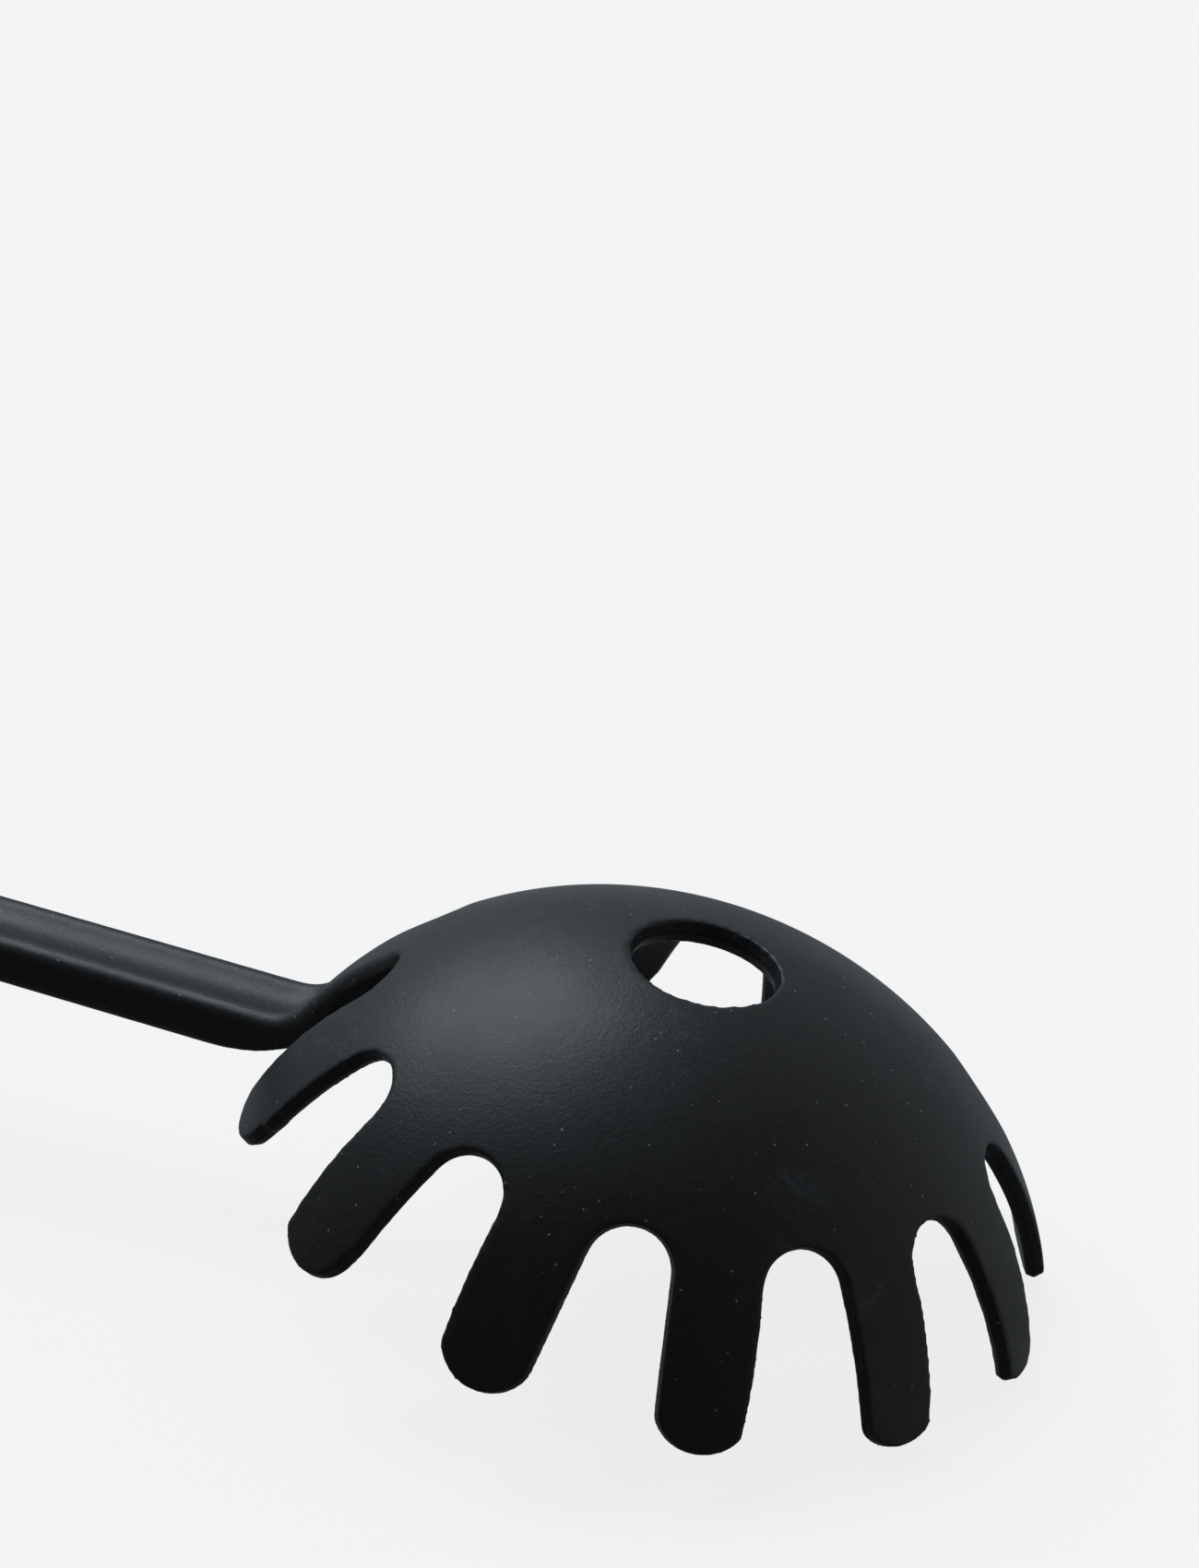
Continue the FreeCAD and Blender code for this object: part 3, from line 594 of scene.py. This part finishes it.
# ------------------------------------------------------------------ pieces
@dataclass
class ServerHead:
    """The nylon moulding: bowl, teeth, drain hole, neck bar and tang."""

    grain: float = 0.24 * MM
    rounds: int = 12
    snap: float = 0.3 * MM
    blend_rounds: int = 6
    flash_place: float = 0.55
    flash_height: float = 0.16 * MM
    flash_half_width: float = 0.17 * MM
    draft: float = 0.20 * MM
    wall_rounds: int = 3
    face_turn: tuple[float, float] = (0.95, 0.995)          # normals this close to the face's follow it
    wall_turn: tuple[float, float] = (0.28, 0.98)           # normals this far across it are walls
    lowest_wall: float = 0.1                                # of the bowl's depth
    wall_reach: float = 1.3                                 # of the crown's wall
    neck_start: tuple[float, float] = (0.8, 0.2)            # of half the length and half the width
    finish: MouldedNylon = field(default_factory=MouldedNylon)

    def build(self) -> bpy.types.Object:
        """Make the head with rounded edges and true bowl faces, and dress it.

        Returns:
            The piece that stands for the CAD head.
        """
        piece = moulded_copy("server_head_moulding", "server_head", self.grain, self.rounds)
        self.true_up(piece.data)
        self.part_walls(piece.data)
        keep_inside(piece.data, "server_head")
        dress(piece, self.finish.build())
        stand_in(piece, "server_head")
        return piece

    @staticmethod
    def in_bowl(mesh: bpy.types.Mesh) -> tuple[np.ndarray, np.ndarray]:
        """Read a mesh in the bowl's own frame.

        Args:
            mesh: The head's mesh.

        Returns:
            Its vertex positions and its vertex normals.
        """
        to_bowl = np.array(BOWL.matrix().inverted())
        points = vertex_array(mesh) @ to_bowl[:3, :3].T + to_bowl[:3, 3]
        return points, vertex_normals(mesh) @ to_bowl[:3, :3].T

    @staticmethod
    def from_bowl(mesh: bpy.types.Mesh, points: np.ndarray) -> None:
        """Write vertices given in the bowl's frame back to the mesh."""
        to_row = np.array(BOWL.matrix())
        set_vertices(mesh, points @ to_row[:3, :3].T + to_row[:3, 3])

    def true_up(self, mesh: bpy.types.Mesh) -> None:
        """Move the bowl's two faces onto their exact ellipsoids, fading out towards edges.

        Args:
            mesh: The head's mesh.
        """
        points, facing = self.in_bowl(mesh)
        shift = np.zeros_like(points)
        for axes, side in ((BOWL.outer(), 1.0), (BOWL.inner(), -1.0)):
            off, out = ellipsoid_offset(points, axes)
            turn = side * (facing * out).sum(1)
            start, full = self.face_turn
            weight = np.clip((turn - start) / (full - start), 0, 1)
            weight *= np.clip(2 - 2 * np.abs(off) / self.snap, 0, 1)
            shift -= (weight * off)[:, None] * out
        self.from_bowl(mesh, points + averaged(mesh, shift, self.blend_rounds))

    def part_walls(self, mesh: bpy.types.Mesh) -> None:
        """Give the walls of slots and teeth their two drafts and the flash line between them.

        Args:
            mesh: The head's mesh.
        """
        points, facing = self.in_bowl(mesh)
        above, out = ellipsoid_offset(points, BOWL.outer())
        below, _ = ellipsoid_offset(points, BOWL.inner())
        inside = np.clip(above / (above - below), 0, 1)
        side = facing - (facing * out).sum(1)[:, None] * out
        start, full = self.wall_turn
        wall = np.clip((np.linalg.norm(side, axis=1) - start) / (full - start), 0, 1)
        wall *= (points[:, 2] > self.lowest_wall * BOWL.depth)
        wall *= (np.abs(above) < self.wall_reach * BOWL.crown_wall)
        behind, beside = self.neck_start
        neck = points[:, 0] < -behind * BOWL.half_length
        wall[neck & (np.abs(points[:, 1]) < beside * BOWL.half_width)] = 0
        across = (inside - self.flash_place) * BOWL.wall
        flash = self.flash_height * np.exp(-(across / self.flash_half_width) ** 2)
        relief = self.draft * np.abs(across) / (self.flash_place * BOWL.wall)
        move = averaged(mesh, (wall * (flash - relief))[:, None] * side, self.wall_rounds)
        self.from_bowl(mesh, points + move)


@dataclass
class Grip:
    """The handle's grip: steel collar, hidden core with its pins, and the soft sleeve."""

    sleeve_grain: float = 0.45 * MM
    sleeve_rounds: int = 4
    groove_count: int = 12
    groove_depth: float = 0.55 * MM
    groove_half_width: float = 1.5 * MM
    groove_zone: tuple[float, float] = (0.17, 0.83)
    groove_fade: float = 0.02
    face_turn: tuple[float, float] = (0.35, 0.80)
    outer_turn: float = 0.4
    seam_depth: float = 0.12 * MM
    seam_half_width: float = 0.35 * MM
    collar_edge: float = 0.45 * MM

    def build(self) -> list[bpy.types.Object]:
        """Make and dress the grip's pieces.

        Returns:
            The new pieces, front to back.
        """
        collar = machined_copy("collar_turned", "neck_collar", self.collar_edge)
        dress(collar, SatinSteel("stainless_304_satin_ground", stretch=(1.0, 0.05, 0.05)).build())
        stand_in(collar, "neck_collar")
        dress(frame["nodes"]["grip_core"], CorePlastic().build())
        pins = SatinSteel("steel_pin_centreless_ground", colour="B9B8B6", roughness=0.24).build()
        for node in ("tang_pins", "cap_pin"):
            dress(frame["nodes"][node], pins)
        return [collar, self.sleeve()]

    def sleeve(self) -> bpy.types.Object:
        """Make the sleeve with its finger grooves above and below and its two mould seams.

        Returns:
            The new piece.
        """
        piece = moulded_copy("sleeve_overmoulded", "soft_sleeve", self.sleeve_grain, self.sleeve_rounds)
        mesh = piece.data
        points, facing = vertex_array(mesh), vertex_normals(mesh)
        middle = 0.5 * (points.max(0) + points.min(0))
        axis = np.linalg.svd((points - middle).T @ (points - middle))[0][:, 0]
        axis *= np.sign(-axis[0])
        along = (points - middle) @ axis
        place = (along - along.min()) / (along.max() - along.min())
        radial = (points - middle) - along[:, None] * axis
        outer = (facing * radial).sum(1) > self.outer_turn * np.linalg.norm(radial, axis=1)
        up = np.cross(axis, (0.0, 1.0, 0.0))
        start, end = self.groove_zone
        zone = np.clip(np.minimum(place - start, end - place) / self.groove_fade, 0, 1)
        pitch = (end - start) * (along.max() - along.min()) / self.groove_count
        phase = (place - start) / (end - start) * self.groove_count
        from_groove = np.abs(phase - np.floor(phase) - 0.5) * pitch
        groove = np.clip(1 - (from_groove / self.groove_half_width) ** 2, 0, 1) ** 1.5
        low, full = self.face_turn
        face = np.clip((np.abs(facing @ up) - low) / (full - low), 0, 1)
        from_seam = points[:, 2] - middle[2] - along * axis[2]
        seam = np.exp(-(from_seam / self.seam_half_width) ** 2)
        sink = outer * (self.groove_depth * groove * zone * face + self.seam_depth * seam)
        sink = averaged(mesh, sink[:, None], 2)
        set_vertices(mesh, points - sink * facing)
        keep_inside(mesh, "soft_sleeve")
        dress(piece, SoftElastomer().build())
        stand_in(piece, "soft_sleeve")
        return piece


@dataclass
class Tail:
    """The tail of the handle: end cap with its fork, link pin and swinging link."""

    cap_edge: float = 0.5 * MM
    link_edge: float = 0.35 * MM
    pin_edge: float = 0.25 * MM

    def build(self) -> list[bpy.types.Object]:
        """Make and dress the cap, the pin and the link.

        Returns:
            The new pieces, front to back.
        """
        cap = machined_copy("cap_cast", "end_cap", self.cap_edge)
        dress(cap, SatinSteel("stainless_316_investment_cast_bead_blasted", colour="BFBEBB", roughness=0.36,
                              streak_mm=0.18, stretch=(1.0, 1.0, 1.0)).build())
        stand_in(cap, "end_cap")
        pin = machined_copy("pin_turned", "link_pin", self.pin_edge)
        dress(pin, SatinSteel("steel_pin_turned", colour="B9B8B6", roughness=0.22,
                              stretch=(1.0, 0.05, 1.0)).build())
        stand_in(pin, "link_pin")
        link = machined_copy("link_stamped", "hanging_link", self.link_edge)
        dress(link, SatinSteel("stainless_304_stamped_tumbled", colour="C9C8C5", roughness=0.27,
                               streak_mm=0.6, stretch=(1.0, 1.0, 1.0)).build())
        stand_in(link, "hanging_link")
        return [cap, pin, link]


# ------------------------------------------------------------------ studio
@dataclass(frozen=True)
class Studio:
    """Pale floor, soft daylight from above and the camera."""

    floor_colour: str = "F2F2F2"
    floor_half: float = 6.0
    floor_glow: float = 1.02
    floor_share: float = 0.80
    room_colour: str = "E6F0F6"
    room_dim: float = 0.085
    room_bright: float = 0.38
    bright_side: tuple[float, float, float] = (-0.45, 0.83, 0.33)
    wall_bright: float = 0.17
    wall_side: tuple[float, float, float] = (0.95, 0.30, 0.02)
    sky_energy: float = 1.35
    sky_width: float = 44.0
    sky_from: tuple[float, float, float] = (-0.50, 0.25, 0.83)
    sky_colour: str = "E2F1FA"
    azimuth: float = 25.39
    elevation: float = 23.57
    lens: float = 96.9
    sensor: float = 36.0
    clip: tuple[float, float] = (0.01, 50.0)
    floor_drop: float = 0.1 * MM
    from_bowl: tuple[float, float, float] = (0.13216, -0.28319, 0.18219)

    def camera(self) -> None:
        """Camera placed from the bowl's centre, level, without shift or depth of field."""
        data = bpy.data.cameras.new("camera")
        data.lens = self.lens
        data.sensor_width = self.sensor
        data.clip_start, data.clip_end = self.clip
        camera = bpy.data.objects.new("camera", data)
        bpy.context.scene.collection.objects.link(camera)
        a, e = math.radians(self.azimuth), math.radians(self.elevation)
        back = Vector((math.sin(a) * math.cos(e), -math.cos(a) * math.cos(e), math.sin(e)))
        camera.location = BOWL.centre() + Vector(self.from_bowl)
        camera.rotation_mode = "QUATERNION"
        camera.rotation_quaternion = (-back).to_track_quat("-Z", "Y")
        bpy.context.scene.camera = camera

    def floor(self) -> None:
        """A plain pale floor at the height the server lies on."""
        mesh = bpy.data.meshes.new("floor")
        h = self.floor_half
        mesh.from_pydata([(-h, -h, 0), (h, -h, 0), (h, h, 0), (-h, h, 0)], [], [(0, 1, 2, 3)])
        floor = mesh_object("floor", mesh)
        floor.location.z = -self.floor_drop
        material, tree = new_material("floor_pale_matt")
        matt = add_node(tree, "ShaderNodeBsdfDiffuse", inputs={"Color": linear(self.floor_colour)})
        glow = add_node(tree, "ShaderNodeEmission", inputs={
            "Color": linear("FFFFFF"), "Strength": self.floor_glow})
        both = add_node(tree, "ShaderNodeMixShader", inputs={
            "Fac": self.floor_share, 1: matt.outputs["BSDF"], 2: glow.outputs["Emission"]})
        add_node(tree, "ShaderNodeOutputMaterial", inputs={"Surface": both.outputs["Shader"]})
        dress(floor, material)
        floor.visible_diffuse = False
        floor.visible_glossy = False

    def room(self) -> None:
        """A dim room, brighter behind the table and towards a pale wall beside the teeth."""
        world = bpy.data.worlds.new("room")
        world.use_nodes = True
        tree = world.node_tree
        tree.nodes.clear()
        where = add_node(tree, "ShaderNodeTexCoord").outputs["Generated"]
        behind = add_node(tree, "ShaderNodeVectorMath", {"operation": "DOT_PRODUCT"}, {
            0: where, 1: self.bright_side})
        level = add_node(tree, "ShaderNodeMapRange", {"interpolation_type": "SMOOTHSTEP"}, {
            "Value": behind.outputs["Value"], "From Min": -0.2, "From Max": 1.0,
            "To Min": self.room_dim, "To Max": self.room_bright})
        beside = add_node(tree, "ShaderNodeVectorMath", {"operation": "DOT_PRODUCT"}, {
            0: where, 1: self.wall_side})
        wall = add_node(tree, "ShaderNodeMapRange", {"interpolation_type": "SMOOTHSTEP"}, {
            "Value": beside.outputs["Value"], "From Min": 0.5, "From Max": 1.0,
            "To Min": 0.0, "To Max": self.wall_bright})
        total = add_node(tree, "ShaderNodeMath", {"operation": "ADD"}, {
            0: level.outputs["Result"], 1: wall.outputs["Result"]})
        shade = add_node(tree, "ShaderNodeBackground", inputs={
            "Color": linear(self.room_colour), "Strength": total.outputs["Value"]})
        add_node(tree, "ShaderNodeOutputWorld", inputs={"Surface": shade.outputs["Background"]})
        bpy.context.scene.world = world

    def lights(self) -> None:
        """Even daylight from one broad patch, high on the handle's side."""
        self.room()
        data = bpy.data.lights.new("skylight", "SUN")
        data.energy = self.sky_energy
        data.angle = math.radians(self.sky_width)
        data.color = linear(self.sky_colour)[:3]
        lamp = bpy.data.objects.new("skylight", data)
        bpy.context.scene.collection.objects.link(lamp)
        lamp.rotation_mode = "QUATERNION"
        lamp.rotation_quaternion = (-Vector(self.sky_from)).to_track_quat("-Z", "Y")

    def build(self) -> None:
        """Set the whole studio up."""
        self.camera()
        self.floor()
        self.lights()
        bpy.context.scene.view_settings.view_transform = "Standard"


def main() -> None:
    """Build each sub-assembly in order and report it."""
    logging.basicConfig(level=logging.INFO, format="%(name)s: %(message)s")
    Studio().build()
    head = ServerHead().build()
    LOG.info("server head: %d vertices", len(head.data.vertices))
    grip = Grip().build()
    LOG.info("grip: %s", ", ".join(piece.name for piece in grip))
    tail = Tail().build()
    LOG.info("tail: %s", ", ".join(piece.name for piece in tail))


if __name__ == "__main__":
    main()
